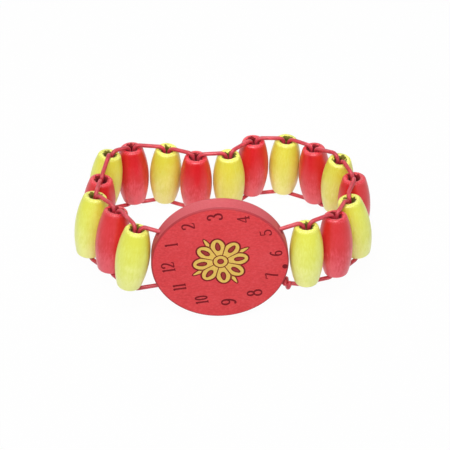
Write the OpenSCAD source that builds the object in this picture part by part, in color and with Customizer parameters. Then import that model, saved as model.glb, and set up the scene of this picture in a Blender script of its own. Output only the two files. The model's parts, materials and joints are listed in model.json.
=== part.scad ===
// A child's wooden toy watch. A round dial and a ring of oval beads are laced together
// by one elastic cord, which makes a bracelet. The watch stands on a table: it leans back
// on the low edge of its dial and on the cord under its rear beads.
// Millimetres, +Z up, -Y towards the person who reads the dial, origin under the middle.

/* [Dial] */
// Diameter of the dial
dial_d = 32; // [28:0.5:40]
// Thickness of the dial
dial_t = 4.2; // [3.6:0.1:7]
// Rounding of the dial's two edges
dial_edge_r = 0.4; // [0.1:0.05:0.8]
// Diameter of the two bores that take the cord through the dial
dial_bore_d = 1.8; // [1.5:0.05:2.2]
// Distance between the two bores
dial_bore_spacing = 15; // [11:0.5:17]
// How far the bores lie behind the middle of the dial's thickness
dial_bore_back = 0.4; // [0:0.05:0.6]
// How far the dial's centre hangs below the ring of beads
dial_low = 0.5; // [0:0.1:1]

/* [Beads] */
// Length of a bead
bead_l = 16; // [14:0.5:19]
// Diameter of a bead at its belly
bead_d = 8; // [7.5:0.1:10]
// Diameter of the bore along a bead
bead_bore_d = 2.6; // [2.6:0.05:3.2]
// Rounding of the rim round the bore at each end of a bead
bead_rim_r = 0.8; // [0.4:0.05:1]
// Gap between two neighbours at their bellies
bead_gap = 0.25; // [0.15:0.05:0.6]

/* [Cord] */
// Diameter of the elastic cord
cord_d = 1; // [0.7:0.05:1.1]
// Clearance between the cord and the wood
cord_clear = 0.12; // [0.08:0.01:0.2]
// Gap between the two runs of cord where they cross in a bead
cross_gap = 0.15; // [0.1:0.01:0.3]
// Depth of the joint between two stretches, below the round of the rim
joint_depth = 2; // [1:0.1:4]
// Gap at the joint between two stretches
joint_gap = 0.1; // [0.05:0.01:0.2]
// Gap at the rear bead, where the ring's two halves meet
rear_joint_gap = 0.6; // [0.3:0.05:1]

/* [Knot] */
// Gap at each side of the knot, to the dial's rim and to the bead beside it
knot_gap = 0.1; // [0.1:0.05:0.3]
// Length of each cut end
tail_l = 1; // [0.8:0.1:2.5]

/* [Hidden] */
// Directions of the right half's stretches, in degrees from +X, from the dial to the rear bead
right_heading_degrees = [29, 53, 85, 115, 128, 152, 185, 222];
// Directions of the left half's stretches, in degrees from +X, from the dial to the rear bead
left_heading_degrees = [127, 130, 81, 81, 37, -2, -23, 4];
// How far each bead's axis leans, in degrees, to the right and to the rear
bead_lean_degrees = [
    [-2, 3], [-3, 6], [-12, 2], [-3, 2], [1, -7], [-4, -2], [1, -4], [1, -2], [-1, -3],
    [0, -3], [3, -5], [-1, 0], [10, 4], [7, 0], [9, 8], [8, 9], [9, 4]
];
// How far each bead sits above the ring's middle plane, as shares of its length
lift_shares = [
    0, -0.02, -0.01, 0.02, 0.08, -0.01, 0, 0.01, -0.015,
    -0.02, 0, -0.01, 0.065, -0.03, -0.01, 0.01, 0
];
// How many beads away from the rear one the watch rests on the table, at the right and the left
rear_right_steps = 2;
rear_left_steps = 3;

// Colours of the paint and the cord
red_paint = [0.85, 0.2, 0.24];
yellow_paint = [0.89, 0.86, 0.36];
cord_red = [0.87, 0.25, 0.33];

// Fineness of the round solids, and of the cord
round_fn = 96;
cord_sides = 8;
bore_steps = 5;
turn_steps = 4;
// Steps in one whole turn of the knot
knot_steps = 12;
// Where the knot's turn starts, in degrees from its rear side
knot_start = 130;

right_count = len(right_heading_degrees);
left_count = len(left_heading_degrees);
bead_count = right_count + left_count + 1;
last_bead = bead_count - 1;
rear_bead = right_count;

function padded(i) = str(i < 10 ? "0" : "", i);
bead_names = [for (i = [1 : bead_count]) str("bead_", padded(i))];
link_names = [for (i = [1 : bead_count - 1]) str("cord_link_", padded(i))];

// Vectors
function unit(v) = v / norm(v);
function across(v, axis) = unit(v - (v * axis) * axis);
function spun(v, angle) = [
    v.x * cos(angle) - v.y * sin(angle),
    v.x * sin(angle) + v.y * cos(angle),
    v.z
];
function tipped(v, angle) = [
    v.x * cos(angle) + v.z * sin(angle),
    v.y,
    v.z * cos(angle) - v.x * sin(angle)
];

// The ring of beads
// The right and left halves are two stiff sides of a triangle. The dial with its two
// neighbours is the third side, so the ring closes whatever the sizes are.
pitch = bead_d + bead_gap;
dial_span = dial_d + bead_d + 2 * bead_gap;

function walk(headings, steps) = steps == 0
    ? [0, 0, 0]
    : walk(headings, steps - 1) + pitch * [cos(headings[steps - 1]), sin(headings[steps - 1]), 0];

right_end = walk(right_heading_degrees, right_count);
left_end = walk(left_heading_degrees, left_count);
right_side = norm(right_end);
left_side = norm(left_end);
function corner(a, b, opposite) = acos((a * a + b * b - opposite * opposite) / (2 * a * b));
right_turn = 180 - corner(dial_span, right_side, left_side) - atan2(right_end.y, right_end.x);
left_turn = corner(dial_span, left_side, right_side) - atan2(left_end.y, left_end.x);

function on_plan(i) = i <= rear_bead
    ? [dial_span / 2, 0, 0] + spun(walk(right_heading_degrees, i), right_turn)
    : [-dial_span / 2, 0, 0] + spun(walk(left_heading_degrees, last_bead - i), left_turn);

places = [for (i = [0 : last_bead]) on_plan(i) + [0, 0, lift_shares[i] * bead_l]];
axes = [for (lean = bead_lean_degrees) unit([sin(lean[0]), sin(lean[1]), 1])];

// The dial
dial_centre = [0, -dial_bore_back, -dial_low];
dial_bore_r = dial_bore_d / 2;
bore_height = dial_bore_spacing / 2;
// Where a bore leaves the round rim, on its outer side
bore_mouth_x = sqrt(pow(dial_d / 2, 2) - pow(bore_height + dial_bore_r, 2));

// A bead's section: a belly arc that runs into the round of the rim
bead_bore_r = bead_bore_d / 2;
rim_ring_r = bead_bore_r + bead_rim_r;
rim_height = bead_l / 2 - bead_rim_r;
belly_depth = bead_d / 2 - rim_ring_r;
belly_r = (pow(rim_height, 2) + pow(belly_depth, 2) - pow(bead_rim_r, 2)) / (2 * (belly_depth - bead_rim_r));
belly_centre_r = bead_d / 2 - belly_r;
// Height at which the belly arc meets the round of the rim
belly_end_height = rim_height * belly_r / (belly_r - bead_rim_r);

// The cord's course
cord_r = cord_d / 2;
// Radius of the cord's turn over a rim
turn_r = bead_rim_r + cord_clear + cord_r;
// Distance of a run from the bead's axis, at the ends of the bore and where two runs cross
run_r = bead_bore_r - cord_clear - cord_r;
cross_r = cord_r + cross_gap / 2;
// The same places as shares of the way from the middle of the bore to its end
joint_share = (rim_height - joint_depth) / rim_height;
joint_gap_share = joint_gap / rim_height;
rear_gap_share = rear_joint_gap / rim_height;

// The neighbours of a bead, nearer to the dial and further from it along its half of the ring
function toward_dial(i) = i == 0
    ? across([-1, 0, 0], axes[i])
    : i == last_bead
    ? across([1, 0, 0], axes[i])
    : across(places[i <= rear_bead ? i - 1 : i + 1] - places[i], axes[i]);
function from_dial(i) = across(places[i <= rear_bead ? i + 1 : i - 1] - places[i], axes[i]);

// A point of the run that leaves bead i at its top (end = 1) or its bottom (end = -1) on the
// side away from the dial. The share runs from -1, at the end that it enters, to 1.
function run_point(i, end, share) = let (
    inward = toward_dial(i),
    outward = from_dial(i),
    sideways = unit(cross(axes[i], outward - inward)),
    angle = 90 * share,
    swing = run_r * (max(sin(angle), 0) * outward + max(-sin(angle), 0) * inward),
    bulge = end * cross_r * cos(angle) * sideways
) places[i] + end * share * rim_height * axes[i] + swing + bulge;

// The middle of a rim's round, on the side that a stretch leaves by
function rim_point(i, end, direction) =
    places[i] + end * rim_height * axes[i] + rim_ring_r * direction;

// The cord's turn over a rim, between two directions from the middle of the rim's round. The
// points between the first and the last lie a little further out, so the chords stay clear.
function turn_points(middle, from, to) = let (
    angle = acos(from * to),
    outer_r = turn_r / cos(angle / (2 * turn_steps))
) [
    for (k = [0 : turn_steps])
        let (share = k / turn_steps, reach = k == 0 || k == turn_steps ? turn_r : outer_r)
        middle + reach * (sin((1 - share) * angle) * from + sin(share * angle) * to) / sin(angle)
];

function lift_off(i, end, along) = across(end * axes[i], along);

// The stretch from bead i, on which it pivots, to bead j, over the rims at one end of the beads
function stretch_points(i, j, end, out_of_i, into_j) = let (
    leave = rim_point(i, end, out_of_i),
    arrive = rim_point(j, end, into_j),
    along = unit(arrive - leave),
    up_i = lift_off(i, end, along),
    up_j = lift_off(j, end, along)
) concat(
    turn_points(leave, -out_of_i, up_i),
    turn_points(arrive, up_j, -into_j)
);

// A link's cord at one end of the beads: through bead i, over the gap and into bead j. The last
// link of the right half also runs through the rear bead, where the left half's last link ends.
function link_points(i, j, end) = let (
    start_share = joint_gap_share - joint_share,
    right_last = j == rear_bead && i < rear_bead,
    left_last = j == rear_bead && i > rear_bead,
    rear_span = 1 + joint_share - rear_gap_share,
    into_j = left_last ? from_dial(j) : toward_dial(j)
) concat(
    [for (k = [0 : bore_steps - 1]) run_point(i, end, start_share + (1 - start_share) * k / bore_steps)],
    stretch_points(i, j, end, from_dial(i), into_j),
    right_last
        ? [for (k = [1 : bore_steps]) run_point(j, -end, rear_span * k / bore_steps - 1)]
        : left_last
        ? [run_point(j, end, joint_share)]
        : [run_point(j, -end, -joint_share)]
);

// The cord through the dial, above or below, and into one of the dial's two neighbours
function dial_bore(end) = dial_centre + [0, dial_bore_back, end * bore_height];
function dial_mouth(side, end) =
    dial_bore(end) + [side * bore_mouth_x, 0, end * (dial_bore_r - cord_r - cord_clear)];
function neighbour(side) = side > 0 ? 0 : last_bead;
function dial_turn(side, end) = let (
    i = neighbour(side),
    rim = rim_point(i, end, toward_dial(i)),
    up = lift_off(i, end, unit(dial_mouth(side, end) - rim))
) turn_points(rim, up, -toward_dial(i));
function dial_half(side, end) = concat(
    [dial_bore(end) + [side * (bore_mouth_x - 2 * cord_d), 0, 0], dial_mouth(side, end)],
    dial_turn(side, end),
    [run_point(neighbour(side), -end, -joint_share)]
);
function dial_points(end) = let (
    left = dial_half(-1, end)
) concat([for (k = [len(left) - 1 : -1 : 0]) left[k]], dial_half(1, end));

// The knot round the dial's lower right stretch. It has as many turns as fit between the dial's
// rim and the bead, where its inner side is nearest to both. Its chords stay clear of the stretch.
knot_r = (cord_d + cross_gap / 2) / cos(180 / knot_steps);
knot_inner_height = bore_height - knot_r - cord_r;
knot_start_x = sqrt(pow(dial_d / 2, 2) - pow(knot_inner_height, 2)) + knot_gap + cord_r;
knot_bead_r = belly_centre_r + sqrt(pow(belly_r, 2) - pow(knot_inner_height + dial_low, 2));
knot_end_x = dial_span / 2 - knot_bead_r - knot_gap - cord_r;
knot_along = unit(dial_turn(1, -1)[0] - dial_mouth(1, -1));
knot_l = (knot_end_x - knot_start_x) / knot_along.x;
knot_turns = knot_l / (cord_d + cross_gap);
knot_point_count = ceil(knot_turns * knot_steps);
knot_rear = across([0, 1, 0], knot_along);
knot_up = cross(knot_along, knot_rear);
knot_foot = dial_mouth(1, -1) + knot_along * (knot_start_x - bore_mouth_x) / knot_along.x;
function knot_point(share) = let (angle = knot_start - 360 * knot_turns * share)
    knot_foot + knot_l * share * knot_along + knot_r * (cos(angle) * knot_rear + sin(angle) * knot_up);
function knot_way(share) = let (angle = knot_start - 360 * knot_turns * share)
    unit(sin(angle) * knot_rear - cos(angle) * knot_up);
knot_points = concat(
    [knot_point(0) - tail_l * knot_way(0)],
    [for (k = [0 : knot_point_count]) knot_point(k / knot_point_count)],
    [knot_point(1) + tail_l * knot_way(1)]
);

// How the watch stands
// The floor touches the dial's low rear edge and the cord under one bead at each side of
// the rear. Its slope and those points depend on each other, and a few rounds settle them.
function dial_foot(n) = let (
    down = across(-n, [0, 1, 0])
) dial_centre + [0, dial_t / 2 - dial_edge_r, 0] + (dial_d / 2 - dial_edge_r) * down - dial_edge_r * n;
function rear_foot(i, n) = rim_point(i, -1, from_dial(i)) - (turn_r + cord_r) * n;
function floor_normal(n, rounds) = rounds == 0 ? n : let (
    front = dial_foot(n),
    right = rear_foot(rear_bead - rear_right_steps, n),
    left = rear_foot(rear_bead + rear_left_steps, n)
) floor_normal(unit(cross(right - front, left - front)), rounds - 1);
floor_up = floor_normal([0, 0, 1], 6);
floor_turn = atan2(floor_up.y, floor_up.x);
floor_tip = acos(floor_up.z);

function levelled(v) = spun(tipped(spun(v, -floor_turn), -floor_tip), floor_turn);

// How far a bead reaches along a direction
function bead_reach(i, direction) = let (
    axial = abs(axes[i] * direction),
    radial = sqrt(1 - axial * axial),
    on_belly = axial < rim_height / (belly_r - bead_rim_r)
) places[i] * direction
    + (on_belly ? belly_r + belly_centre_r * radial : bead_rim_r + rim_ring_r * radial + rim_height * axial);
function dial_reach(direction) = let (
    axial = abs(direction.y),
    radial = sqrt(1 - axial * axial)
) dial_centre * direction + dial_edge_r
    + (dial_t / 2 - dial_edge_r) * axial + (dial_d / 2 - dial_edge_r) * radial;

// Directions of the table's axes, seen from the ring
function unlevelled(v) = spun(tipped(spun(v, -floor_turn), floor_tip), floor_turn);
table_x = unlevelled([1, 0, 0]);
table_y = unlevelled([0, 1, 0]);
reaches_right = max([for (i = [0 : last_bead]) bead_reach(i, table_x)]);
reaches_left = max([for (i = [0 : last_bead]) bead_reach(i, -table_x)]);
reaches_back = max([for (i = [0 : last_bead]) bead_reach(i, table_y)]);
reaches_front = max(dial_reach(-table_y), max([for (i = [0 : last_bead]) bead_reach(i, -table_y)]));
floor_height = levelled(dial_foot(floor_up)).z;
shift = [(reaches_left - reaches_right) / 2, (reaches_front - reaches_back) / 2, -floor_height];

module on_table() {
    translate(shift)
        rotate([0, 0, floor_turn])
            rotate([0, -floor_tip, 0])
                rotate([0, 0, -floor_turn])
                    children();
}

// A tube along a path. Its two ends are square to the directions given for them.
module tube(path, start_way, end_way, reference) {
    last = len(path) - 1;
    ways = [
        for (i = [0 : last])
            i == 0
                ? start_way
                : i == last
                ? end_way
                : unit(unit(path[i + 1] - path[i]) + unit(path[i] - path[i - 1]))
    ];
    ring_sides = [for (way = ways) across(reference, way)];
    points = [
        for (i = [0 : last])
            for (k = [0 : cord_sides - 1])
                let (angle = 360 * k / cord_sides)
                path[i] + cord_r * (cos(angle) * ring_sides[i] + sin(angle) * cross(ways[i], ring_sides[i]))
    ];
    walls = [
        for (i = [0 : last - 1])
            for (k = [0 : cord_sides - 1])
                let (a = i * cord_sides + k, b = i * cord_sides + (k + 1) % cord_sides)
                each [[a, a + cord_sides, b], [b, a + cord_sides, b + cord_sides]]
    ];
    start_cap = [for (k = [0 : cord_sides - 1]) k];
    end_cap = [for (k = [cord_sides - 1 : -1 : 0]) last * cord_sides + k];
    polyhedron(points, concat([start_cap, end_cap], walls));
}

module dial_section() {
    inner_r = dial_d / 2 - dial_edge_r;
    inner_half_t = dial_t / 2 - dial_edge_r;
    translate([0, -dial_t / 2])
        square([inner_r, dial_t]);
    translate([0, -inner_half_t])
        square([dial_d / 2, 2 * inner_half_t]);
    for (side = [-1, 1])
        translate([inner_r, side * inner_half_t])
            circle(r = dial_edge_r, $fn = round_fn);
}

// The turned wooden disc, with a bore for the cord above and below its centre
module dial() {
    color(red_paint)
        on_table()
            translate(dial_centre)
                difference() {
                    rotate([90, 0, 0])
                        rotate_extrude($fn = round_fn)
                            dial_section();
                    for (end = [-1, 1])
                        translate([0, dial_bore_back, end * bore_height])
                            rotate([0, 90, 0])
                                cylinder(d = dial_bore_d, h = dial_d, center = true, $fn = round_fn);
                }
}

module bead_section() {
    difference() {
        union() {
            intersection() {
                translate([belly_centre_r, 0])
                    circle(r = belly_r, $fn = round_fn);
                translate([0, -belly_end_height])
                    square([bead_d / 2, 2 * belly_end_height]);
            }
            for (end = [-1, 1])
                translate([rim_ring_r, end * rim_height])
                    circle(r = bead_rim_r, $fn = round_fn);
        }
        translate([0, -bead_l / 2])
            square([bead_bore_r, bead_l]);
    }
}

// One oval turned bead, with its bore
module bead(i) {
    axis = axes[i];
    color(i % 2 == 0 ? yellow_paint : red_paint)
        on_table()
            translate(places[i])
                rotate([0, acos(axis.z), atan2(axis.y, axis.x)])
                    rotate_extrude($fn = round_fn)
                        bead_section();
}

// The cord through the dial, above and below, with its ends in the two beads beside it
module dial_cord() {
    color(cord_red)
        on_table()
            for (end = [-1, 1])
                tube(dial_points(end), end * axes[last_bead], -end * axes[0], [0, 1, 0]);
}

// The cord from one bead to the next, above and below, with its two runs in the bead it pivots on
module cord_link(k) {
    i = k < right_count ? k : k + 1;
    j = k < right_count ? k + 1 : k;
    color(cord_red)
        on_table()
            for (end = [-1, 1])
                tube(link_points(i, j, end), end * axes[i], -end * axes[j],
                    unit(cross(axes[i] + axes[j], places[j] - places[i])));
}

// The knot that ties the cord's two ends: a turn round the lower stretch, and two cut ends
module cord_knot() {
    color(cord_red)
        on_table()
            tube(knot_points, knot_way(0), knot_way(1), knot_along);
}

dial();
dial_cord();
cord_knot();
for (i = [0 : last_bead])
    bead(i);
for (k = [0 : bead_count - 2])
    cord_link(k);
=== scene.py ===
# The looks of the toy watch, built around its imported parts. Metres, +Z up, the dial towards -Y.
import json
import math
import random

import bpy
from mathutils import Matrix, Vector


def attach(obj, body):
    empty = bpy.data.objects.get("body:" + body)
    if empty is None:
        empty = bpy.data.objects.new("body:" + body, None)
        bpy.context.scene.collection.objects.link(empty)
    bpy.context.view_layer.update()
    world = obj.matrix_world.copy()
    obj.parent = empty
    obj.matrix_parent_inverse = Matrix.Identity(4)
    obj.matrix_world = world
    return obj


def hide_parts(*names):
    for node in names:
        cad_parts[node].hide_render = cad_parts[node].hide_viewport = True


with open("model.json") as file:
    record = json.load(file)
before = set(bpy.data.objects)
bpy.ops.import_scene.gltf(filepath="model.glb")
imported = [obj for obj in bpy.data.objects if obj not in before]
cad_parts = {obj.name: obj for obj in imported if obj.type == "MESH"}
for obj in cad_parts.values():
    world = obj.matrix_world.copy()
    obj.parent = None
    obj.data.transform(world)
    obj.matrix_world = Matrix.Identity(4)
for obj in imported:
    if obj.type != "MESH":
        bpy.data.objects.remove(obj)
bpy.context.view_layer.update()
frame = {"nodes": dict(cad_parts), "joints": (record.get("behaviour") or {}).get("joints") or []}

MM = 0.001

# Sizes of the pieces, the same as in the part's source, with the knot's start in degrees
DIAL_D = 32 * MM
DIAL_T = 4.2 * MM
DIAL_BORE_D = 1.8 * MM
DIAL_BORE_SPACING = 15 * MM
DIAL_BORE_BACK = 0.4 * MM
DIAL_LOW = 0.5 * MM
BEAD_L = 16 * MM
BEAD_D = 8 * MM
BEAD_BORE_D = 2.6 * MM
BEAD_RIM_R = 0.8 * MM
CORD_D = 1 * MM
CORD_CLEAR = 0.12 * MM
CROSS_GAP = 0.15 * MM
JOINT_DEPTH = 2 * MM
JOINT_GAP = 0.1 * MM
REAR_JOINT_GAP = 0.6 * MM
KNOT_START = 130
KNOT_GAP = 0.1 * MM
TAIL_L = 1 * MM

BEAD_COUNT = 17
HALF_COUNT = 8
LAST = BEAD_COUNT - 1
REAR = HALF_COUNT

# How far inside the dial's bore the cord comes to the middle of the bore
DIAL_BORE_EASE = 2 * CORD_D

# Fineness of the cord
CORD_SIDES = 16
BORE_STEPS = 14
TURN_STEPS = 12
STRETCH_STEPS = 6
KNOT_STEPS = 60
TAIL_STEPS = 4
END_ROUND_STEPS = 4

# A cord's end: how deep its round goes, in radii of the cord, and the share left off at the tip
END_ROUND_DEPTH = 0.5
END_FLAT_SHARE = 0.12

# The camera, as solved from the photograph
CAMERA_AZIMUTH = 3.92
CAMERA_ELEVATION = 48.92
CAMERA_ROLL = 2.38
CAMERA_DISTANCE = 0.34036
CAMERA_TARGET = Vector((0.16, -5.62, 14)) * MM
CAMERA_LENS = 113.7
CAMERA_NEAR = 0.01
SENSOR_WIDTH = 36

# Lamps round the watch, by azimuth, elevation, distance, width and power, with their spread in degrees
ROUND_LAMPS = {
    "key": (25, 62, 0.7, 0.45, 2.6),
    "fill": (-70, 30, 0.8, 0.6, 0.4),
    "back": (165, 35, 0.8, 0.6, 1.1),
}
ROUND_LAMP_SPREAD = 180

# The small lamp above the ring, which lights the inside of its rear
RING_LAMP = (0, 74, 0.13, 0.05, 0.007)
RING_LAMP_SPREAD = 50

# The stage
WHITE = (1, 1, 1, 1)
FLOOR_GREY = (0.86, 0.86, 0.86, 1)
FLOOR_HALF = 1.5
FLOOR_GLOW_SHARE = 0.97
WORLD_LIGHT = 0.38

# The print on the dial, in millimetres, degrees and shares of a numeral's height
HOURS = 12
PRINT_UP_ANGLE = 187.7
PRINT_MIDDLE = (0.4, 1.05)
NUMERAL_RING_R = 12.6
NUMERAL_H = 3.1
NUMERAL_HEIGHTS = {3: 3.6, 4: 2.9, 5: 2.8, 6: 2.9, 7: 3.25, 8: 3.6, 9: 3.6}
THICK_SHARE = 0.145
THIN_SHARE = 0.08
TERMINAL_R_SHARE = 0.075
DIGIT_GAP_SHARE = 0.09
DOT_PLACE = (15.1, -1.1)
DOT_D = 1.3
INK_T = 0.012
INK_LAYER = 0.0015
INK_SINK = 0.02

# The flower printed in the middle of the dial, in millimetres, degrees and shares
ROSETTE_MIDDLE = (0.1, 0.75)
ROSETTE_TURN = 9
ROSETTE_R = 6.6
PETALS = 8
PETAL_DIP_SHARE = 0.3
PETAL_BLUNTNESS = 0.8
DISC_R = 1.75
BUD_R = 0.7
SEED_R = 4.4
SEED_L = 2.3
SEED_W = 1
LEAF_R = 5.9
LEAF_L = 3.5
LEAF_W = 1.1
OVAL_TAPER = 0.25
OUTLINE_W = 0.4
LINE_W = 0.28
VALLEY_START_W = 0.7 * LINE_W
BUD_LINE_W = 0.8 * LINE_W

# The layers of the flower's print, from the lowest. The line round a shape lies one layer above it.
LEAF_LAYER = 1
PETAL_LAYER = 3
SEED_LAYER = 4
DISC_LAYER = 5
BUD_LAYER = 6

# Fineness of the print
ARC_STEPS = 16
CIRCLE_STEPS = 24
DISC_STEPS = 36
PETAL_STEPS = 16


def padded(index):
    """The number of a bead or a stretch as it stands in names, from 01."""
    return f"{index + 1:02d}"


def srgb(red, green, blue):
    """A colour as it shows on a screen, 0 to 255, as the linear colour that a shader takes."""
    linear = []
    for value in (red / 255, green / 255, blue / 255):
        linear.append(value / 12.92 if value <= 0.04045 else ((value + 0.055) / 1.055) ** 2.4)
    return (*linear, 1)


# Places taken from the frame
JOINTS = {joint["name"]: joint for joint in frame["joints"]}
SPINS = [JOINTS["spin_bead_" + padded(bead)] for bead in range(BEAD_COUNT)]
PLACES = [Vector(joint["pos_m"]) for joint in SPINS]
AXES = [Vector(joint["axis"]).normalized() for joint in SPINS]


def largest_front_normal(node):
    """The normal of the largest face of a piece that looks forward."""
    faces = frame["nodes"][node].data.polygons
    front = [face for face in faces if face.normal.y < 0]
    return max(front, key=lambda face: face.area).normal.copy()


RIGHT = (PLACES[0] - PLACES[LAST]).normalized()
OUT = largest_front_normal("dial")
UP = RIGHT.cross(-OUT).normalized()
RING_MIDDLE = (PLACES[0] + PLACES[LAST]) / 2
DIAL_MIDDLE = RING_MIDDLE + DIAL_BORE_BACK * OUT - DIAL_LOW * UP
FACE_MIDDLE = DIAL_MIDDLE + DIAL_T / 2 * OUT

# Patterns of the materials: their fineness, alike all ways and along each axis, then the detail
# and roughness of their noise
BEAD_CLOUD = {"scale": 0.25, "detail": 2}
BEAD_GRAIN = {"scale": 1, "stretch": (7, 7, 0.35), "detail": 4}
BEAD_SPECK = {"scale": 3.4, "detail": 2}
BEAD_MOTTLE = {"scale": 1, "stretch": (2.6, 2.6, 0.7), "detail": 4, "roughness": 0.65}
BEAD_TEAR = {"scale": 1.1, "detail": 2}
DIAL_CLOUD = {"scale": 0.14, "detail": 3}
DIAL_GRAIN = {"scale": 1.3, "stretch": (0.28, 4.2, 2.4), "detail": 5, "roughness": 0.62}
DIAL_PORES = {"scale": 1.4, "stretch": (0.8, 9, 6), "detail": 3}
DIAL_MOTTLE = {"scale": 1.6, "stretch": (1, 1.4, 1.4), "detail": 3, "roughness": 0.65}
CORD_CLOUD = {"scale": 0.5, "detail": 3}
CORD_FINE = {"scale": 7, "detail": 3}
INK_CLOUD = {"scale": 2.6, "detail": 4}
INK_FINE = {"scale": 11, "detail": 2}

# How far a bead's patterns are moved at most, so that no two beads look the same
PATTERN_SHIFT = 90

# What a pattern does: two levels of it, and the value that it gives at each
BEAD_CLOUD_STEP = (0.3, 0.7, -0.14, 0.14)
BEAD_MOTTLE_STEP = (0.3, 0.7, -0.2, 0.2)
BEAD_GRAIN_COVER = (0.45, 0.72, 0, 0.16)
BEAD_WEAR_AND_HIGHLIGHT_COVER = (0.4, 0.6, 0, 0.7)
BEAD_TEAR_STEP = (0.35, 0.65, -0.45, 0.3)
BEAD_ROUGHNESS = (0.3, 0.7, 0.36, 0.43)
DIAL_GRAIN_COVER = (0.38, 0.75, 0, 0.3)
DIAL_PALE_COVER = (0.5, 0.72, 0, 0.5)
DIAL_DARK_COVER = (0.5, 0.3, 0, 0.4)
DIAL_EDGE_SHADE_STEP = (0.3, 0.7, -0.08, 0.08)
DIAL_ROUGHNESS = (0.3, 0.8, 0.5, 0.62)
CORD_ROUGHNESS = (0.3, 0.8, 0.3, 0.42)
INK_ROUGHNESS_LEVELS = (0.3, 0.8)
INK_ROUGHNESS_SPAN = 0.12

# Relief: the share of each pattern in it, and then its strength and depth as a whole
BEAD_GRAIN_RELIEF = 0.6
BEAD_SPECK_RELIEF = 0.4
BEAD_TEAR_RELIEF = 6
DIAL_GRAIN_RELIEF = 0.7
DIAL_PORES_RELIEF = 0.3
BEAD_RELIEF = (0.3, 0.05 * MM)
DIAL_RELIEF = (0.22, 0.05 * MM)
CORD_RELIEF = (0.2, 0.02 * MM)
INK_RELIEF = (0.15, 0.02 * MM)

# A bead's worn ends, paler in patches that are partly painted highlight, in millimetres from the end, and
# its bare bore, darkened as painted shade, in millimetres beyond the bore
WEAR_START = 0.9
WEAR_FULL = 0.2
BARE_AND_SHADE_START = 0.4
BARE_AND_SHADE_FULL = 0.25

# The roughness that bare wood adds, and the gloss coat on a bead's paint
BARE_ROUGHNESS = 0.5
BEAD_COAT = 0.3

# The dial's rim, paler as painted reflection, and the dark line at its edge, which is painted shade, in
# millimetres in from the face and from the rim
RIM_START = 0.04
RIM_FULL = 0.3
FACE_START = 0.5
FACE_FULL = 0.25
EDGE_SHADE_START = 0.48
EDGE_SHADE_FULL = 0.3
EDGE_SHADE_SHARE = 0.75

# A bead's paint: its pale, full and deep tones, of which the pale one at the bottom is painted bounce
# light, and the dark colour inside the bore, which is painted shade
RED_TONES_WITH_PAINTED_LIGHT = (srgb(236, 83, 99), srgb(218, 39, 50), srgb(211, 22, 30), srgb(128, 10, 22))
YELLOW_TONES_WITH_PAINTED_LIGHT = (srgb(247, 251, 148), srgb(233, 238, 104), srgb(226, 227, 72), srgb(112, 104, 26))

# The place of each tone along a bead, from 0 at its bottom to 1 at its top, so that the bead is paler
# towards the bottom as painted bounce light from the floor
PALE_LEVEL = 0.1
FULL_LEVEL = 0.55
DEEP_LEVEL = 0.95

# The dial's and the cord's colours, the mottled ones by the level of their pattern
DIAL_TONES = [(0.3, srgb(219, 48, 54)), (0.6, srgb(223, 55, 61)), (0.8, srgb(226, 64, 70))]
DIAL_GRAIN_TONE = srgb(192, 37, 46)
DIAL_PALE_TONE = srgb(224, 84, 90)
DIAL_DARK_TONE = srgb(186, 34, 42)
# The rim's tones are paler and greyer than the face: painted reflection of the white surroundings.
RIM_REFLECTION_TONES = [(0.3, srgb(188, 62, 70)), (0.55, srgb(196, 76, 84)), (0.75, srgb(208, 100, 107))]
# The dark line at the face's edge is painted shade.
EDGE_SHADE_TONE = srgb(150, 26, 40)
CORD_TONES = [(0.3, srgb(184, 46, 60)), (0.55, srgb(200, 60, 73)), (0.8, srgb(216, 84, 92))]

# The levels of the inks' pattern for their two tones
INK_DARK_LEVEL = 0.35
INK_LIGHT_LEVEL = 0.75

# Each ink: its dark and its light tone, and its least roughness
BROWN_INK = (srgb(108, 10, 22), srgb(136, 20, 32), 0.6)
GOLD_INK = (srgb(224, 184, 82), srgb(234, 202, 108), 0.42)
MAROON_INK = (srgb(150, 44, 44), srgb(168, 60, 56), 0.5)

# Sockets of the Mix node where it mixes colours
MIX_FACTOR = 0
MIX_FIRST = 6
MIX_SECOND = 7
MIX_RESULT = 2


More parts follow.
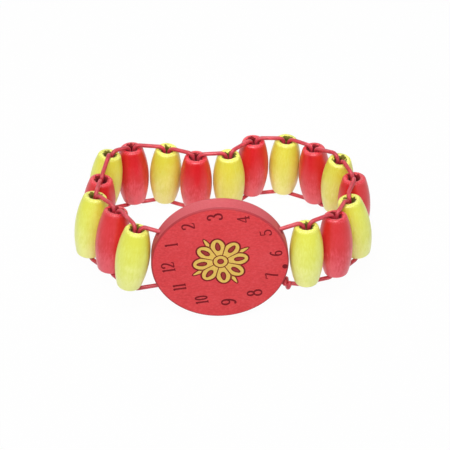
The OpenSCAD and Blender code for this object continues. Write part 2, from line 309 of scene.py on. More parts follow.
# Materials
class Nodes:
    """The nodes of a material or of the world, with short calls for adding and joining them."""

    def __init__(self, owner, output="ShaderNodeOutputMaterial"):
        owner.use_nodes = True
        self.owner = owner
        self.tree = owner.node_tree
        self.tree.nodes.clear()
        self.output = self.tree.nodes.new(output)

    def add(self, kind, inputs=None, **settings):
        """A new node. An input is a value, or a socket that is joined to it."""
        node = self.tree.nodes.new(kind)
        for key, value in settings.items():
            setattr(node, key, value)
        for key, value in (inputs or {}).items():
            if isinstance(value, bpy.types.NodeSocket):
                self.tree.links.new(value, node.inputs[key])
            else:
                node.inputs[key].default_value = value
        return node

    def math(self, operation, first, second=0.0):
        return self.add("ShaderNodeMath", {0: first, 1: second}, operation=operation).outputs[0]

    def weighted(self, first, first_share, second, second_share):
        """The sum of two values, each times its share."""
        first = self.math("MULTIPLY", first, first_share)
        second = self.math("MULTIPLY", second, second_share)
        return self.math("ADD", first, second)

    def local(self, middle, right, up):
        """The position in a piece's own axes, in millimetres, from its place at rest."""
        turn = Matrix((right, up.cross(right), up)).transposed().to_euler()
        coords = self.add("ShaderNodeTexCoord").outputs["Object"]
        inputs = {"Vector": coords, "Location": middle, "Rotation": turn, "Scale": (MM, MM, MM)}
        return self.add("ShaderNodeMapping", inputs, vector_type="TEXTURE").outputs["Vector"]

    def coordinate(self, spot, letter):
        return self.add("ShaderNodeSeparateXYZ", {"Vector": spot}).outputs[letter]

    def from_axis(self, spot, across_axis):
        """The distance from an axis, which has 0 in its own place and 1 in the two others."""
        flat = self.add("ShaderNodeVectorMath", {0: spot, 1: across_axis}, operation="MULTIPLY").outputs[0]
        return self.add("ShaderNodeVectorMath", {0: flat}, operation="LENGTH").outputs["Value"]

    def noise(self, vector, scale, detail, roughness=0.55, stretch=None):
        if stretch:
            vector = self.add("ShaderNodeMapping", {"Vector": vector, "Scale": stretch}).outputs["Vector"]
        inputs = {"Vector": vector, "Scale": scale, "Detail": detail, "Roughness": roughness}
        return self.add("ShaderNodeTexNoise", inputs).outputs["Fac"]

    def ramp(self, factor, stops):
        node = self.add("ShaderNodeValToRGB", {"Fac": factor})
        elements = node.color_ramp.elements
        while len(elements) < len(stops):
            elements.new(1)
        for element, (position, colour) in zip(elements, stops):
            element.position = position
            element.color = colour
        return node.outputs["Color"]

    def between(self, value, low, high, to_low=0.0, to_high=1.0):
        """The value's span from low to high, laid on another span and cut off at its ends."""
        inputs = {"Value": value, "From Min": low, "From Max": high, "To Min": to_low, "To Max": to_high}
        return self.add("ShaderNodeMapRange", inputs, clamp=True).outputs["Result"]

    def mix(self, factor, first, second):
        inputs = {MIX_FACTOR: factor, MIX_FIRST: first, MIX_SECOND: second}
        return self.add("ShaderNodeMix", inputs, data_type="RGBA").outputs[MIX_RESULT]

    def bump(self, height, strength, distance):
        inputs = {"Height": height, "Strength": strength, "Distance": distance}
        return self.add("ShaderNodeBump", inputs).outputs["Normal"]

    def seen(self):
        """1 for what the camera sees, also in a reflection or through something clear, or else 0."""
        path = self.add("ShaderNodeLightPath")
        seen = self.math("MAXIMUM", path.outputs["Is Camera Ray"], path.outputs["Is Glossy Ray"])
        return self.math("MAXIMUM", seen, path.outputs["Is Transmission Ray"])

    def end_with(self, shader):
        """Joins a shader to the output, and gives back the material or the world."""
        self.tree.links.new(shader.outputs[0], self.output.inputs["Surface"])
        return self.owner

    def principled(self, **inputs):
        """Ends the material with one shader, whose inputs are named with _ for a space."""
        inputs = {name.replace("_", " "): value for name, value in inputs.items()}
        return self.end_with(self.add("ShaderNodeBsdfPrincipled", inputs))

    def blended(self, share, first, second):
        """Ends the material or the world with a blend of two shaders."""
        inputs = {0: share, 1: first.outputs[0], 2: second.outputs[0]}
        return self.end_with(self.add("ShaderNodeMixShader", inputs))


def bead_material(bead):
    """Satin paint over the turned wood of one bead, worn at the ends and torn at the bore, paler towards
    the bottom as painted bounce light, with painted shade in the bore and partly painted highlight in the
    pale patches at the ends.
    """
    shader = Nodes(bpy.data.materials.new("bead_" + padded(bead) + "_paint"))
    draw = random.Random(bead)
    pale, full, deep, inside = RED_TONES_WITH_PAINTED_LIGHT if bead % 2 else YELLOW_TONES_WITH_PAINTED_LIGHT
    axis = AXES[bead]
    side = RIGHT.cross(axis).cross(-axis).normalized()
    spot = shader.local(PLACES[bead], side, axis)
    height = shader.coordinate(spot, "Z")
    radius = shader.from_axis(spot, (1, 1, 0))
    shift = (draw.uniform(0, PATTERN_SHIFT), draw.uniform(0, PATTERN_SHIFT), 0)
    spot = shader.add("ShaderNodeVectorMath", {0: spot, 1: shift}).outputs[0]
    cloud = shader.noise(spot, **BEAD_CLOUD)
    grain = shader.noise(spot, **BEAD_GRAIN)
    speck = shader.noise(spot, **BEAD_SPECK)
    mottle = shader.noise(spot, **BEAD_MOTTLE)
    torn = shader.noise(spot, **BEAD_TEAR)

    half_l = BEAD_L / 2 / MM
    # Paler towards the bottom and deeper towards the top: painted bounce light from the white floor, with
    # random cloud and mottle over it.
    bounce_light_and_mottle = shader.between(height, -half_l, half_l)
    bounce_light_and_mottle = shader.math("ADD", bounce_light_and_mottle, shader.between(cloud, *BEAD_CLOUD_STEP))
    bounce_light_and_mottle = shader.math("ADD", bounce_light_and_mottle, shader.between(mottle, *BEAD_MOTTLE_STEP))
    colour = shader.ramp(bounce_light_and_mottle, [(PALE_LEVEL, pale), (FULL_LEVEL, full), (DEEP_LEVEL, deep)])
    colour = shader.mix(shader.between(grain, *BEAD_GRAIN_COVER), colour, deep)

    at_end = shader.between(shader.math("ABSOLUTE", height), half_l - WEAR_START, half_l - WEAR_FULL)
    # Pale patches near the ends: worn paint, and partly a painted highlight on the rims.
    worn_and_highlit = shader.math("MULTIPLY", at_end, shader.between(speck, *BEAD_WEAR_AND_HIGHLIGHT_COVER))
    colour = shader.mix(worn_and_highlit, colour, pale)

    # The bore's darker colour is painted shade in the hole. The bare wood's higher roughness and missing
    # coat are real.
    bore_r = BEAD_BORE_D / 2 / MM
    ragged = shader.math("ADD", radius, shader.between(torn, *BEAD_TEAR_STEP))
    bare_wood_and_shade = shader.between(ragged, bore_r + BARE_AND_SHADE_START, bore_r + BARE_AND_SHADE_FULL)
    colour = shader.mix(bare_wood_and_shade, colour, inside)
    roughness = shader.between(cloud, *BEAD_ROUGHNESS)
    bare_roughness = shader.math("MULTIPLY", bare_wood_and_shade, BARE_ROUGHNESS)

    relief = shader.weighted(grain, BEAD_GRAIN_RELIEF, speck, BEAD_SPECK_RELIEF)
    torn_relief = shader.math("MULTIPLY", shader.math("MULTIPLY", torn, at_end), BEAD_TEAR_RELIEF)
    relief = shader.math("ADD", relief, torn_relief)
    return shader.principled(
        Base_Color=colour,
        Roughness=shader.math("ADD", roughness, bare_roughness),
        Normal=shader.bump(relief, *BEAD_RELIEF),
        Coat_Weight=shader.between(bare_wood_and_shade, 0, 1, BEAD_COAT, 0),
        Coat_Roughness=0.25,
        Sheen_Weight=0.05,
        Sheen_Roughness=0.4,
    )


def dial_material():
    """Flat red paint over a sawn wooden disc, with faint grain, a rim with wood pores and a paler tone that
    is painted reflection, and a dark line at its edge that is painted shade.
    """
    shader = Nodes(bpy.data.materials.new("dial_paint"))
    spot = shader.local(DIAL_MIDDLE, RIGHT, UP)
    cloud = shader.noise(spot, **DIAL_CLOUD)
    grain = shader.noise(spot, **DIAL_GRAIN)
    pores = shader.noise(spot, **DIAL_PORES)
    mottle = shader.noise(spot, **DIAL_MOTTLE)
    colour = shader.ramp(cloud, DIAL_TONES)
    colour = shader.mix(shader.between(grain, *DIAL_GRAIN_COVER), colour, DIAL_GRAIN_TONE)
    colour = shader.mix(shader.between(mottle, *DIAL_PALE_COVER), colour, DIAL_PALE_TONE)
    colour = shader.mix(shader.between(mottle, *DIAL_DARK_COVER), colour, DIAL_DARK_TONE)

    half_t = DIAL_T / 2 / MM
    depth = shader.math("ABSOLUTE", shader.coordinate(spot, "Y"))
    # The rim paler and greyer: painted reflection of the white surroundings, with the wood's pores.
    on_rim = shader.between(depth, half_t - RIM_START, half_t - RIM_FULL)
    colour = shader.mix(on_rim, colour, shader.ramp(pores, RIM_REFLECTION_TONES))

    # A dark line round the face's edge, made ragged by the mottle: painted shade on the rounded edge.
    dial_r = DIAL_D / 2 / MM
    radius = shader.from_axis(spot, (1, 0, 1))
    radius = shader.math("ADD", radius, shader.between(mottle, *DIAL_EDGE_SHADE_STEP))
    edge_shade_from = dial_r - EDGE_SHADE_START
    edge_shade_to = dial_r - EDGE_SHADE_FULL
    edge_shade = shader.between(radius, edge_shade_from, edge_shade_to, 0, EDGE_SHADE_SHARE)
    at_face = shader.between(depth, half_t - FACE_START, half_t - FACE_FULL)
    colour = shader.mix(shader.math("MULTIPLY", edge_shade, at_face), colour, EDGE_SHADE_TONE)

    relief = shader.weighted(grain, DIAL_GRAIN_RELIEF, pores, DIAL_PORES_RELIEF)
    return shader.principled(
        Base_Color=colour,
        Roughness=shader.between(pores, *DIAL_ROUGHNESS),
        Normal=shader.bump(relief, *DIAL_RELIEF),
    )


def cord_material():
    """Smooth red elastic, a little waxy."""
    shader = Nodes(bpy.data.materials.new("cord_elastic"))
    spot = shader.local(RING_MIDDLE, RIGHT, UP)
    cloud = shader.noise(spot, **CORD_CLOUD)
    fine = shader.noise(spot, **CORD_FINE)
    return shader.principled(
        Base_Color=shader.ramp(cloud, CORD_TONES),
        Roughness=shader.between(fine, *CORD_ROUGHNESS),
        Normal=shader.bump(fine, *CORD_RELIEF),
        Subsurface_Weight=0.12,
        Subsurface_Scale=0.4 * MM,
        Subsurface_Radius=(1, 0.3, 0.25),
    )


def ink_material(name, dark, light, roughness):
    """Printed ink, lighter here and there."""
    shader = Nodes(bpy.data.materials.new(name))
    spot = shader.local(FACE_MIDDLE, RIGHT, UP)
    cloud = shader.noise(spot, **INK_CLOUD)
    fine = shader.noise(spot, **INK_FINE)
    most_rough = roughness + INK_ROUGHNESS_SPAN
    return shader.principled(
        Base_Color=shader.ramp(cloud, [(INK_DARK_LEVEL, dark), (INK_LIGHT_LEVEL, light)]),
        Roughness=shader.between(fine, *INK_ROUGHNESS_LEVELS, roughness, most_rough),
        Specular_IOR_Level=0.2,
        Normal=shader.bump(fine, *INK_RELIEF),
    )


CORD_ELASTIC = cord_material()
INK = ink_material("ink_brown", *BROWN_INK)
GOLD = ink_material("ink_gold", *GOLD_INK)
MAROON = ink_material("ink_maroon", *MAROON_INK)


def paint_node(node, material):
    materials = frame["nodes"][node].data.materials
    materials.clear()
    materials.append(material)


def paint_frame():
    """Paints the dial and the beads, which stay as they come from the frame."""
    paint_node("dial", dial_material())
    for bead in range(BEAD_COUNT):
        paint_node("bead_" + padded(bead), bead_material(bead))


# The cord's course, by the same rules as in the part's source
BORE_HEIGHT = DIAL_BORE_SPACING / 2
DIAL_BORE_R = DIAL_BORE_D / 2
BORE_MOUTH_X = math.sqrt((DIAL_D / 2) ** 2 - (BORE_HEIGHT + DIAL_BORE_R) ** 2)
BEAD_BORE_R = BEAD_BORE_D / 2
RIM_RING_R = BEAD_BORE_R + BEAD_RIM_R
RIM_HEIGHT = BEAD_L / 2 - BEAD_RIM_R
BELLY_DEPTH = BEAD_D / 2 - RIM_RING_R
BELLY_R = (RIM_HEIGHT**2 + BELLY_DEPTH**2 - BEAD_RIM_R**2) / (2 * (BELLY_DEPTH - BEAD_RIM_R))
CORD_R = CORD_D / 2
TURN_R = BEAD_RIM_R + CORD_CLEAR + CORD_R
RUN_R = BEAD_BORE_R - CORD_CLEAR - CORD_R
CROSS_R = CORD_R + CROSS_GAP / 2
JOINT_SHARE = (RIM_HEIGHT - JOINT_DEPTH) / RIM_HEIGHT
JOINT_GAP_SHARE = JOINT_GAP / RIM_HEIGHT
REAR_GAP_SHARE = REAR_JOINT_GAP / RIM_HEIGHT


def across(vector, axis):
    """The way of a vector with what it has along an axis taken out."""
    return (vector - vector.dot(axis) * axis).normalized()


def toward_dial(bead):
    """The way across a bead to its neighbour on the dial's side."""
    if bead == 0:
        return across(-RIGHT, AXES[bead])
    if bead == LAST:
        return across(RIGHT, AXES[bead])
    neighbour = bead - 1 if bead <= REAR else bead + 1
    return across(PLACES[neighbour] - PLACES[bead], AXES[bead])


def from_dial(bead):
    """The way across a bead to its other neighbour."""
    neighbour = bead + 1 if bead <= REAR else bead - 1
    return across(PLACES[neighbour] - PLACES[bead], AXES[bead])


def run_point(bead, end, share):
    """A point of the run that leaves a bead at its top (end 1) or its bottom (end -1)."""
    inward = toward_dial(bead)
    outward = from_dial(bead)
    sideways = AXES[bead].cross(outward - inward).normalized()
    angle = math.radians(90 * share)
    swing = RUN_R * (max(math.sin(angle), 0) * outward + max(-math.sin(angle), 0) * inward)
    bulge = end * CROSS_R * math.cos(angle) * sideways
    return PLACES[bead] + end * share * RIM_HEIGHT * AXES[bead] + swing + bulge


def rim_point(bead, end, way):
    """The middle of the rim's round, on one side of a bead."""
    return PLACES[bead] + end * RIM_HEIGHT * AXES[bead] + RIM_RING_R * way


def turn_points(middle, start, stop):
    """The cord's turn over a rim, between two ways from the middle of the rim's round."""
    angle = start.angle(stop)
    points = []
    for k in range(TURN_STEPS + 1):
        share = k / TURN_STEPS
        way = (math.sin((1 - share) * angle) * start + math.sin(share * angle) * stop) / math.sin(angle)
        points.append(middle + TURN_R * way)
    return points


def stretch_points(bead, next_bead, end, way_out, way_in):
    """The stretch from one bead to the next, over the rims at one end of the beads."""
    leave = rim_point(bead, end, way_out)
    arrive = rim_point(next_bead, end, way_in)
    along = (arrive - leave).normalized()
    first = turn_points(leave, -way_out, across(end * AXES[bead], along))
    second = turn_points(arrive, across(end * AXES[next_bead], along), -way_in)
    straight = [first[-1].lerp(second[0], k / STRETCH_STEPS) for k in range(1, STRETCH_STEPS)]
    return first + straight + second


def link_points(bead, next_bead, end):
    """One of the two runs of a stretch, from the joint in one bead to the joint in the next."""
    start = JOINT_GAP_SHARE - JOINT_SHARE
    right_last = next_bead == REAR and bead < REAR
    left_last = next_bead == REAR and bead > REAR
    way_in = from_dial(next_bead) if left_last else toward_dial(next_bead)
    points = [run_point(bead, end, start + (1 - start) * k / BORE_STEPS) for k in range(BORE_STEPS)]
    points += stretch_points(bead, next_bead, end, from_dial(bead), way_in)
    if right_last:
        span = 1 + JOINT_SHARE - REAR_GAP_SHARE
        points += [run_point(next_bead, -end, span * k / BORE_STEPS - 1) for k in range(1, BORE_STEPS + 1)]
    elif left_last:
        points.append(run_point(next_bead, end, JOINT_SHARE))
    else:
        points.append(run_point(next_bead, -end, -JOINT_SHARE))
    return points


def dial_bore(end):
    """The middle of the dial's upper (end 1) or lower (end -1) bore."""
    return RING_MIDDLE + (end * BORE_HEIGHT - DIAL_LOW) * UP


def dial_mouth(side, end):
    """Where the cord leaves the dial, at its right (side 1) or left (side -1)."""
    rise = DIAL_BORE_R - CORD_R - CORD_CLEAR
    return dial_bore(end) + side * BORE_MOUTH_X * RIGHT + end * rise * UP


def dial_half(side, end):
    """The cord from inside the dial to the joint in the bead beside it."""
    bead = 0 if side > 0 else LAST
    rim = rim_point(bead, end, toward_dial(bead))
    mouth = dial_mouth(side, end)
    lift = across(end * AXES[bead], (mouth - rim).normalized())
    inside = dial_bore(end) + side * (BORE_MOUTH_X - DIAL_BORE_EASE) * RIGHT
    turn = turn_points(rim, lift, -toward_dial(bead))
    return [inside, mouth] + turn + [run_point(bead, -end, -JOINT_SHARE)]


def dial_points(end):
    return dial_half(-1, end)[::-1] + dial_half(1, end)


def add_object(name, data):
    added = bpy.data.objects.new(name, data)
    bpy.context.scene.collection.objects.link(added)
    return added


def add_mesh(name, vertices, faces, material, smooth):
    mesh = bpy.data.meshes.new(name)
    mesh.from_pydata([tuple(vertex) for vertex in vertices], [], faces)
    mesh.materials.append(material)
    mesh.polygons.foreach_set("use_smooth", [smooth] * len(mesh.polygons))
    mesh.update()
    return add_object(name, mesh)


def tube_mesh(points, radii, vertices, faces):
    """Adds a round tube with closed ends, whose rings don't twist along the path."""
    ways = []
    for i in range(len(points)):
        before = points[max(i - 1, 0)]
        after = points[min(i + 1, len(points) - 1)]
        ways.append((after - before).normalized())
    side = ways[0].orthogonal().normalized()
    first = len(vertices)
    for point, way, radius in zip(points, ways, radii):
        side = across(side, way)
        other = way.cross(side)
        for k in range(CORD_SIDES):
            angle = 2 * math.pi * k / CORD_SIDES
            vertices.append(point + radius * (math.cos(angle) * side + math.sin(angle) * other))
    for i in range(len(points) - 1):
        ring = first + i * CORD_SIDES
        for k in range(CORD_SIDES):
            here = ring + k
            beside = ring + (k + 1) % CORD_SIDES
            faces.append((here, beside, beside + CORD_SIDES, here + CORD_SIDES))
    last = first + (len(points) - 1) * CORD_SIDES
    faces.append(tuple(first + k for k in range(CORD_SIDES - 1, -1, -1)))
    faces.append(tuple(last + k for k in range(CORD_SIDES)))


def round_end(tip, inner):
    """The close steps at one end of a path, each with its radius, from the tip inwards."""
    way = (tip - inner).normalized()
    steps = []
    for k in range(END_ROUND_STEPS + 1):
        angle = math.pi / 2 * (1 - END_FLAT_SHARE) * (1 - k / END_ROUND_STEPS)
        depth = CORD_R * END_ROUND_DEPTH * (1 - math.sin(angle))
        steps.append((tip - depth * way, CORD_R * math.cos(angle)))
    return steps


def rounded_ends(points):
    """The points of a path with close steps at its two ends, and the radii that round them."""
    start = round_end(points[0], points[1])
    stop = round_end(points[-1], points[-2])
    path = start + [(point, CORD_R) for point in points[1:-1]] + stop[::-1]
    return [point for point, radius in path], [radius for point, radius in path]


def cord_piece(name, paths, body, node):
    """A piece of the cord, which shows in place of the part's own."""
    vertices = []
    faces = []
    for path in paths:
        points, radii = rounded_ends(path)
        tube_mesh(points, radii, vertices, faces)
    piece = add_mesh(name, vertices, faces, CORD_ELASTIC, True)
    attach(piece, body)
    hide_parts(node)


def make_links():
    for k in range(LAST):
        bead, next_bead = (k, k + 1) if k < HALF_COUNT else (k + 1, k)
        paths = [link_points(bead, next_bead, end) for end in (1, -1)]
        cord_piece("elastic_" + padded(k), paths, "link_" + padded(k), "cord_link_" + padded(k))


def make_dial_cord():
    cord_piece("elastic_dial", [dial_points(1), dial_points(-1)], "dial", "dial_cord")


def knot_points():
    """As many turns as fit round the dial's lower right stretch, and two cut ends."""
    mouth = dial_mouth(1, -1)
    rim = rim_point(0, -1, toward_dial(0))
    lift = across(-AXES[0], (mouth - rim).normalized())
    along = (rim + TURN_R * lift - mouth).normalized()
    rear = across(-OUT, along)
    up = along.cross(rear)
    radius = CORD_D + CROSS_GAP / 2
    height = BORE_HEIGHT - radius - CORD_R
    start_x = math.sqrt((DIAL_D / 2) ** 2 - height**2) + KNOT_GAP + CORD_R
    bead_r = BEAD_D / 2 - BELLY_R + math.sqrt(BELLY_R**2 - (height + DIAL_LOW) ** 2)
    end_x = (PLACES[0] - PLACES[LAST]).length / 2 - bead_r - KNOT_GAP - CORD_R
    foot = mouth + along * (start_x - BORE_MOUTH_X) / along.dot(RIGHT)
    length = (end_x - start_x) / along.dot(RIGHT)
    turns = length / (CORD_D + CROSS_GAP)

    def place(share, tail=0.0):
        """A point of the coil, or of a cut end that leaves it straight."""
        angle = math.radians(KNOT_START - 360 * turns * share)
        out = math.cos(angle) * rear + math.sin(angle) * up
        way = math.sin(angle) * rear - math.cos(angle) * up
        return foot + length * share * along + radius * out + tail * TAIL_L * way

    start = [place(0, -k / TAIL_STEPS) for k in range(TAIL_STEPS, 0, -1)]
    turn = [place(k / KNOT_STEPS) for k in range(KNOT_STEPS + 1)]
    stop = [place(1, k / TAIL_STEPS) for k in range(1, TAIL_STEPS + 1)]
    return start + turn + stop


def make_knot():
    cord_piece("elastic_knot", [knot_points()], "dial", "cord_knot")


# The print on the dial
def arc(x, y, radius_x, radius_y, start, stop, steps=ARC_STEPS):
    angles = [math.radians(start + (stop - start) * k / steps) for k in range(steps + 1)]
    return [(x + radius_x * math.cos(a), y + radius_y * math.sin(a)) for a in angles]


def circle(middle, radius, steps=CIRCLE_STEPS):
    """Points once round a circle, with the first of them not repeated."""
    return arc(*middle, radius, radius, 0, 360 - 360 / steps, steps - 1)


class Print:
    """Flat shapes of ink on the dial's face, in millimetres from the middle of the face."""

    def __init__(self):
        self.vertices = []
        self.faces = []

    def section(self, corners):
        for x, y, height in corners:
            self.vertices.append(FACE_MIDDLE + MM * (x * RIGHT + y * UP + height * OUT))

    def band(self, points, widths, layer, closed=False):
        """A flat band of ink along a line. A higher layer covers a lower one."""
        top = INK_T + INK_LAYER * layer
        first = len(self.vertices)
        count = len(points)
        for i, (x, y) in enumerate(points):
            before = points[i - 1] if i or closed else points[i]
            after = points[(i + 1) % count] if i + 1 < count or closed else points[i]
            way = Vector((after[0] - before[0], after[1] - before[1])).normalized() * widths[i] / 2
            left = (x - way.y, y + way.x)
            right = (x + way.y, y - way.x)
            self.section([(*left, top), (*right, top), (*right, -INK_SINK), (*left, -INK_SINK)])
        for i in range(count if closed else count - 1):
            here = first + 4 * i
            ahead = first + 4 * ((i + 1) % count)
            for corner in range(4):
                beside = (corner + 1) % 4
                self.faces.append((here + corner, ahead + corner, ahead + beside, here + beside))
        if not closed:
            last = first + 4 * (count - 1)
            self.faces.append(tuple(first + corner for corner in (0, 1, 2, 3)))
            self.faces.append(tuple(last + corner for corner in (3, 2, 1, 0)))

    def area(self, outline, middle, layer):
        """A filled shape whose outline is seen whole from its middle."""
        top = INK_T + INK_LAYER * layer
        middle_top = len(self.vertices)
        middle_low = middle_top + 1
        first = middle_top + 2
        self.section([(*middle, top), (*middle, -INK_SINK)])
        for x, y in outline:
            self.section([(x, y, top), (x, y, -INK_SINK)])
        for i in range(len(outline)):
            here = first + 2 * i
            ahead = first + 2 * ((i + 1) % len(outline))
            self.faces.append((middle_top, here, ahead))
            self.faces.append((middle_low, ahead + 1, here + 1))
            self.faces.append((here, here + 1, ahead + 1, ahead))

    def piece(self, name, material):
        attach(add_mesh(name, self.vertices, self.faces, material, False), "dial")


# Each digit: its width, its strokes with the pen's change from thin to thick, its hairlines and
# its round terminals, in shares of its height
DIGITS = {
    "0": (0.42, [arc(0.21, 0.5, 0.15, 0.45, 90, 450, 30)], [], []),
    "1": (
        0.24,
        [[(0.12, 0.03), (0.12, 0.5), (0.12, 0.97)]],
        [[(0, 0.86), (0.12, 0.96)], [(0, 0.03), (0.24, 0.03)]],
        [],
    ),
    "2": (
        0.52,
        [arc(0.24, 0.74, 0.2, 0.22, 165, -20) + [(0.38, 0.5), (0.2, 0.24), (0.04, 0.05)]],
        [[(0.02, 0.05), (0.3, 0.05), (0.47, 0.06), (0.51, 0.2)]],
        [(0.07, 0.77)],
    ),
    "3": (
        0.5,
        [arc(0.23, 0.76, 0.17, 0.2, 150, -85), arc(0.22, 0.29, 0.23, 0.26, 85, -150)],
        [],
        [(0.09, 0.83), (0.05, 0.19)],
    ),
    "4": (
        0.66,
        [[(0.45, 0.03), (0.45, 0.5), (0.45, 0.97)]],
        [[(0.45, 0.96), (0.24, 0.63), (0.03, 0.3)], [(0.02, 0.3), (0.65, 0.3)], [(0.3, 0.03), (0.6, 0.03)]],
        [],
    ),
    "5": (
        0.56,
        [arc(0.24, 0.32, 0.3, 0.28, 118, -140)],
        [[(0.1, 0.56), (0.12, 0.96)], [(0.12, 0.94), (0.32, 0.92), (0.5, 0.96)]],
        [(0.05, 0.17)],
    ),
    "6": (
        0.5,
        [arc(0.26, 0.29, 0.19, 0.26, 0, 360, 26), arc(0.4, 0.32, 0.34, 0.64, 92, 180)],
        [],
        [(0.41, 0.91)],
    ),
    "7": (
        0.5,
        [[(0.48, 0.93), (0.38, 0.68), (0.28, 0.42), (0.2, 0.03)]],
        [[(0.03, 0.8), (0.05, 0.93), (0.25, 0.9), (0.48, 0.94)]],
        [],
    ),
    "8": (0.5, [arc(0.25, 0.75, 0.16, 0.21, 0, 360, 24), arc(0.25, 0.27, 0.21, 0.25, 0, 360, 26)], [], []),
}


def stroke_widths(stroke, height):
    """The widths of a pen stroke, thick where it runs up or down and thin where it runs across."""
    widths = []
    for i in range(len(stroke)):
        before = stroke[max(i - 1, 0)]
        after = stroke[min(i + 1, len(stroke) - 1)]
        rise = abs(after[1] - before[1]) / math.dist(after, before)
        widths.append(height * (THIN_SHARE + (THICK_SHARE - THIN_SHARE) * rise))
    return widths


def print_numeral(number):
    """One hour's numeral. The 9 is the 6 turned over."""
    text = str(number)
    height = NUMERAL_HEIGHTS.get(number, NUMERAL_H)
    angle = math.radians(PRINT_UP_ANGLE - 360 / HOURS * number)
    middle = Vector(PRINT_MIDDLE) + NUMERAL_RING_R * Vector((math.cos(angle), math.sin(angle)))
    up_angle = math.radians(PRINT_UP_ANGLE)
    up = Vector((math.cos(up_angle), math.sin(up_angle)))
    right = Vector((up.y, -up.x))
    turned = text == "9"
    digits = [DIGITS["6" if turned else digit] for digit in text]
    total = sum(digit[0] for digit in digits) + DIGIT_GAP_SHARE * (len(digits) - 1)

    def placed(points, start):
        """A digit's points as they lie on the face, with the digit's left side at the start."""
        on_face = []
        for x, y in points:
            x = start + x
            y = y - 0.5
            if turned:
                x, y = -x, -y
            on_face.append(tuple(middle + height * (x * right + y * up)))
        return on_face

    ink = Print()
    layer = 0
    start = -total / 2
    for width, strokes, hairlines, terminals in digits:
        for stroke in strokes:
            layer += 1
            ink.band(placed(stroke, start), stroke_widths(stroke, height), layer)
        for line in hairlines:
            layer += 1
            ink.band(placed(line, start), [height * THIN_SHARE] * len(line), layer)
        for terminal in terminals:
            layer += 1
            outline = placed(circle(terminal, TERMINAL_R_SHARE), start)
            ink.area(outline, placed([terminal], start)[0], layer)
        start += width + DIGIT_GAP_SHARE
    ink.piece("numeral_" + text, INK)


def ornament_place(radius, degrees, aside=0.0):
    """A point of the rosette, by its distance and direction from the middle and a step aside."""
    angle = math.radians(degrees + ROSETTE_TURN)
    x = ROSETTE_MIDDLE[0] + radius * math.cos(angle) - aside * math.sin(angle)
    y = ROSETTE_MIDDLE[1] + radius * math.sin(angle) + aside * math.cos(angle)
    return x, y


def oval(radius, degrees, length, width):
    """An oval that points away from the rosette's middle, a little sharper at its outer end."""
    points = []
    for k in range(CIRCLE_STEPS):
        angle = 2 * math.pi * k / CIRCLE_STEPS
        taper = 1 - OVAL_TAPER * math.cos(angle)
        aside = width / 2 * taper * math.sin(angle)
        points.append(ornament_place(radius + length / 2 * math.cos(angle), degrees, aside))
    return points


def print_rosette():
    """A flower with eight petals in gold, four leaves, dark lines and a seed on each petal."""
    gold = Print()
    maroon = Print()
    lines = Print()
    petal_turn = 360 / PETALS
    valley_r = ROSETTE_R * (1 - PETAL_DIP_SHARE)

    def shape(ink, outline, middle, layer, line_width):
        """A filled shape, and a line round it."""
        ink.area(outline, middle, layer)
        lines.band(outline, [line_width] * len(outline), layer + 1, closed=True)

    for k in range(0, PETALS, 2):
        valley = petal_turn * (k + 0.5)
        leaf = oval(LEAF_R, valley, LEAF_L, LEAF_W)
        shape(gold, leaf, ornament_place(LEAF_R, valley), LEAF_LAYER, LINE_W)

    outline = []
    for k in range(PETALS * PETAL_STEPS):
        degrees = 360 * k / (PETALS * PETAL_STEPS)
        lobe = abs(math.cos(math.radians(degrees * PETALS / 2))) ** PETAL_BLUNTNESS
        outline.append(ornament_place(ROSETTE_R * (1 - PETAL_DIP_SHARE * (1 - lobe)), degrees))
    shape(gold, outline, ROSETTE_MIDDLE, PETAL_LAYER, OUTLINE_W)

    for k in range(PETALS):
        valley = petal_turn * (k + 0.5)
        radii = [DISC_R, (DISC_R + ROSETTE_R) / 2, valley_r]
        widths = [VALLEY_START_W, LINE_W, OUTLINE_W]
        lines.band([ornament_place(radius, valley) for radius in radii], widths, PETAL_LAYER + 1)
        degrees = petal_turn * k
        seed = oval(SEED_R, degrees, SEED_L, SEED_W)
        shape(maroon, seed, ornament_place(SEED_R, degrees), SEED_LAYER, LINE_W)

    shape(gold, circle(ROSETTE_MIDDLE, DISC_R, DISC_STEPS), ROSETTE_MIDDLE, DISC_LAYER, LINE_W)
    shape(maroon, circle(ROSETTE_MIDDLE, BUD_R), ROSETTE_MIDDLE, BUD_LAYER, BUD_LINE_W)

    gold.piece("rosette_gold", GOLD)
    maroon.piece("rosette_seeds", MAROON)
    lines.piece("rosette_lines", INK)


def make_dial_print():
    for number in range(1, HOURS + 1):
        print_numeral(number)
    dot = Print()
    dot.area(circle(DOT_PLACE, DOT_D / 2), DOT_PLACE, 1)
    dot.piece("dial_dot", INK)
    print_rosette()


# The stage
def floor_material():
    """White to the camera and to reflections. Elsewhere it takes the object's shadow."""
    shader = Nodes(bpy.data.materials.new("floor_white"))
    matt = shader.add("ShaderNodeBsdfDiffuse", {"Color": FLOOR_GREY})
    white = shader.add("ShaderNodeEmission", {"Color": WHITE, "Strength": 1.0})
    return shader.blended(shader.math("MULTIPLY", shader.seen(), FLOOR_GLOW_SHARE), matt, white)


def make_floor():
    half = FLOOR_HALF
    corners = [(-half, -half, 0), (half, -half, 0), (half, half, 0), (-half, half, 0)]
    add_mesh("floor", corners, [(0, 1, 2, 3)], floor_material(), False)


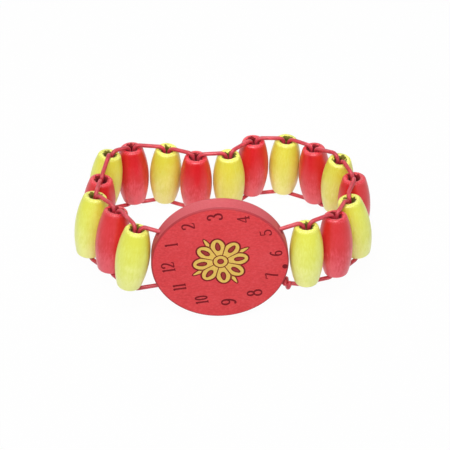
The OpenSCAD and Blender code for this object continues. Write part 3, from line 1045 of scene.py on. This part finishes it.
def make_world():
    """Soft light all round, and plain white where the camera or a reflection sees it."""
    world = bpy.data.worlds.new("studio")
    bpy.context.scene.world = world
    shader = Nodes(world, "ShaderNodeOutputWorld")
    soft = shader.add("ShaderNodeBackground", {"Color": WHITE, "Strength": WORLD_LIGHT})
    white = shader.add("ShaderNodeBackground", {"Color": WHITE, "Strength": 1.0})
    shader.blended(shader.seen(), soft, white)


def direction(azimuth, elevation):
    """The way from the watch to a place round it. Azimuth 0 is in front, and grows to the left."""
    turn = math.radians(azimuth)
    rise = math.radians(elevation)
    return Vector((-math.sin(turn) * math.cos(rise), -math.cos(turn) * math.cos(rise), math.sin(rise)))


def make_lamp(name, azimuth, elevation, distance, size, power, aim, spread):
    """A square soft lamp, aimed at a place on the watch."""
    data = bpy.data.lights.new(name, "AREA")
    data.shape = "SQUARE"
    data.size = size
    data.energy = power
    data.spread = math.radians(spread)
    lamp = add_object(name, data)
    way = direction(azimuth, elevation)
    lamp.location = aim + distance * way
    lamp.rotation_euler = way.to_track_quat("Z", "Y").to_euler()


def make_lamps():
    for name, values in ROUND_LAMPS.items():
        make_lamp(name, *values, CAMERA_TARGET, ROUND_LAMP_SPREAD)
    make_lamp("inside", *RING_LAMP, PLACES[REAR], RING_LAMP_SPREAD)


def make_camera():
    data = bpy.data.cameras.new("camera")
    data.sensor_width = SENSOR_WIDTH
    data.lens = CAMERA_LENS
    data.clip_start = CAMERA_NEAR
    camera = add_object("camera", data)
    back = direction(CAMERA_AZIMUTH, CAMERA_ELEVATION)
    right = (-back).cross(Vector((0, 0, 1))).normalized()
    up = right.cross(-back)
    roll = math.radians(CAMERA_ROLL)
    turned_right = math.cos(roll) * right + math.sin(roll) * up
    turned_up = math.cos(roll) * up - math.sin(roll) * right
    turn = Matrix((turned_right, turned_up, back)).transposed().to_4x4()
    camera.matrix_world = Matrix.Translation(CAMERA_TARGET + CAMERA_DISTANCE * back) @ turn
    bpy.context.scene.camera = camera


bpy.context.scene.view_settings.view_transform = "Standard"
make_camera()
make_world()
make_floor()
make_lamps()
make_links()
make_dial_cord()
make_knot()
make_dial_print()
paint_frame()
